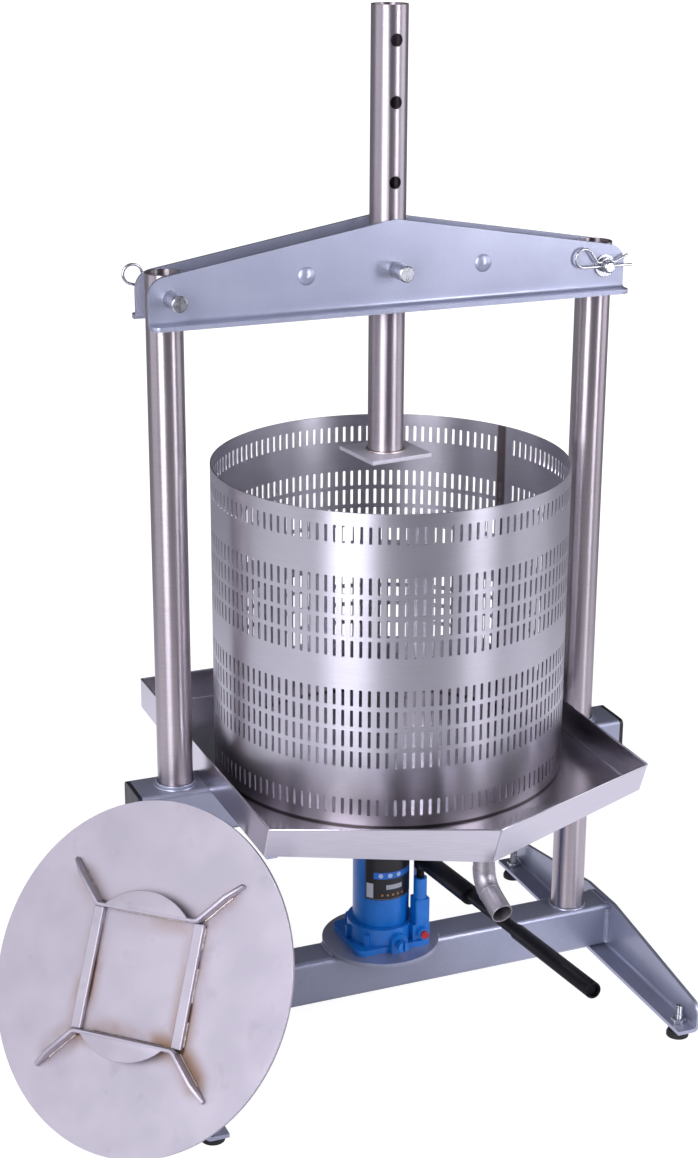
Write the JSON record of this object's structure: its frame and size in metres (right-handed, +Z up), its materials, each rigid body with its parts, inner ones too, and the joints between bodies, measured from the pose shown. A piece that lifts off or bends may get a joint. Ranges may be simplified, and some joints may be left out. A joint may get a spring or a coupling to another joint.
{
  "type": "hydraulic fruit press",
  "caption": "Free-standing fruit press: a bottle jack lifts a table with a slotted basket and a spouted tray on two columns towards a rod hung from a yoke, with a loose press plate.",
  "frame": {"origin": "on the floor, under the middle of the press's box with the press plate and the pump handle", "axes": "+X from the left column to the right one, -Y towards the front with the spout and the pump handle, +Z up along the columns"},
  "size_m": [0.8326, 0.741, 1.246],
  "materials": {
    "frame_paint": "silver-grey powder coat",
    "stainless": "brushed stainless sheet and tube",
    "zinc": "zinc plated",
    "hard_chrome": "ground and chromed",
    "black_rubber": "matt",
    "red_rubber": "matt",
    "black_plastic": "matt",
    "jack_paint": "gloss blue",
    "handle_paint": "gloss black"
  },
  "bodies": {
    "frame": {"base_beam": "frame_paint", "left_foot": "frame_paint", "right_foot": "frame_paint", "jack_pad_plate": "frame_paint", "left_column": "stainless", "right_column": "stainless", "levelling_nuts": "zinc", "yoke_front_plate": "frame_paint", "yoke_back_plate": "frame_paint", "yoke_spacers": "frame_paint", "left_pin": "stainless", "centre_pin": "stainless", "right_pin": "stainless", "pin_washers": "zinc", "left_clip": "zinc", "centre_clip": "zinc", "right_clip": "zinc", "press_rod": "stainless", "rod_foot": "stainless", "jack_base": "jack_paint", "jack_reservoir": "jack_paint", "jack_cylinder": "zinc", "jack_gland": "jack_paint", "pump_barrel": "jack_paint", "pivot_pin": "zinc"},
    "table": {"table_beam": "frame_paint", "left_sleeve": "frame_paint", "right_sleeve": "frame_paint", "left_end_cap": "black_plastic", "right_end_cap": "black_plastic", "table_arms": "frame_paint"},
    "tray": {"tray": "stainless", "spout": "stainless"},
    "basket": {"basket": "stainless"},
    "ram": {"jack_ram": "hard_chrome"},
    "screw": {"extension_screw": "zinc"},
    "lever": {"handle_socket": "handle_paint"},
    "handle": {"handle_rod": "handle_paint", "handle_grip": "handle_paint"},
    "plunger": {"pump_plunger": "handle_paint", "plunger_pin": "zinc"},
    "valve": {"release_valve": "zinc"},
    "plug": {"filler_plug": "red_rubber"},
    "press_plate": {"press_disc": "stainless", "upper_rib": "stainless", "lower_rib": "stainless", "socket_side_bars": "stainless"},
    "front_left_foot": {"front_left_stud": "zinc", "front_left_rubber": "black_rubber"},
    "front_right_foot": {"front_right_stud": "zinc", "front_right_rubber": "black_rubber"},
    "back_left_foot": {"back_left_stud": "zinc", "back_left_rubber": "black_rubber"},
    "back_right_foot": {"back_right_stud": "zinc", "back_right_rubber": "black_rubber"}
  },
  "joints": [
    {"name": "table_lift", "type": "slide", "parent": "frame", "child": "table", "axis": [0, 0, 1], "range_m": [0, 0.105]},
    {"name": "ram_lift", "type": "slide", "parent": "frame", "child": "ram", "axis": [0, 0, 1], "range_m": [0, 0.105]},
    {"name": "screw_turn", "type": "hinge", "parent": "ram", "child": "screw", "pos_m": [0.09132, 0.11553, 0.25], "axis": [0, 0, 1], "continuous": true},
    {"name": "tray_lift", "type": "slide", "parent": "table", "child": "tray", "axis": [0, 0, 1], "range_m": [0, 0.03]},
    {"name": "basket_lift", "type": "slide", "parent": "tray", "child": "basket", "axis": [0, 0, 1], "range_m": [0, 0.04]},
    {"name": "pump_stroke", "type": "hinge", "parent": "frame", "child": "lever", "pos_m": [0.13132, 0.10353, 0.202], "axis": [-1, 0, 0], "range_deg": [0, 15]},
    {"name": "plunger_slide", "type": "slide", "parent": "frame", "child": "plunger", "axis": [0, 0, 1], "range_m": [0, 0.007]},
    {"name": "handle_pull", "type": "slide", "parent": "lever", "child": "handle", "axis": [0, -0.9938, 0.1115], "range_m": [0, 0.11]},
    {"name": "valve_turn", "type": "hinge", "parent": "frame", "child": "valve", "pos_m": [0.09632, 0.06553, 0.098], "axis": [0, -1, 0], "range_deg": [0, 180]},
    {"name": "plug_pull", "type": "slide", "parent": "frame", "child": "plug", "axis": [0, -1, 0], "range_m": [0, 0.012]},
    {"name": "plate_take_away", "type": "slide", "parent": "frame", "child": "press_plate", "axis": [-0.718, -0.4843, 0.5], "range_m": [0, 0.2]},
    {"name": "front_left_level", "type": "hinge", "parent": "frame", "child": "front_left_foot", "pos_m": [-0.21618, -0.11647, 0.004], "axis": [0, 0, 1], "continuous": true},
    {"name": "front_right_level", "type": "hinge", "parent": "frame", "child": "front_right_foot", "pos_m": [0.39882, -0.11647, 0.004], "axis": [0, 0, 1], "continuous": true},
    {"name": "back_left_level", "type": "hinge", "parent": "frame", "child": "back_left_foot", "pos_m": [-0.21618, 0.34753, 0.004], "axis": [0, 0, 1], "continuous": true},
    {"name": "back_right_level", "type": "hinge", "parent": "frame", "child": "back_right_foot", "pos_m": [0.39882, 0.34753, 0.004], "axis": [0, 0, 1], "continuous": true}
  ],
  "couplings": [
    {"joint": "ram_lift", "follows": "table_lift", "ratio": 1},
    {"joint": "plunger_slide", "follows": "pump_stroke", "m_per_rad": 0.02244}
  ]
}
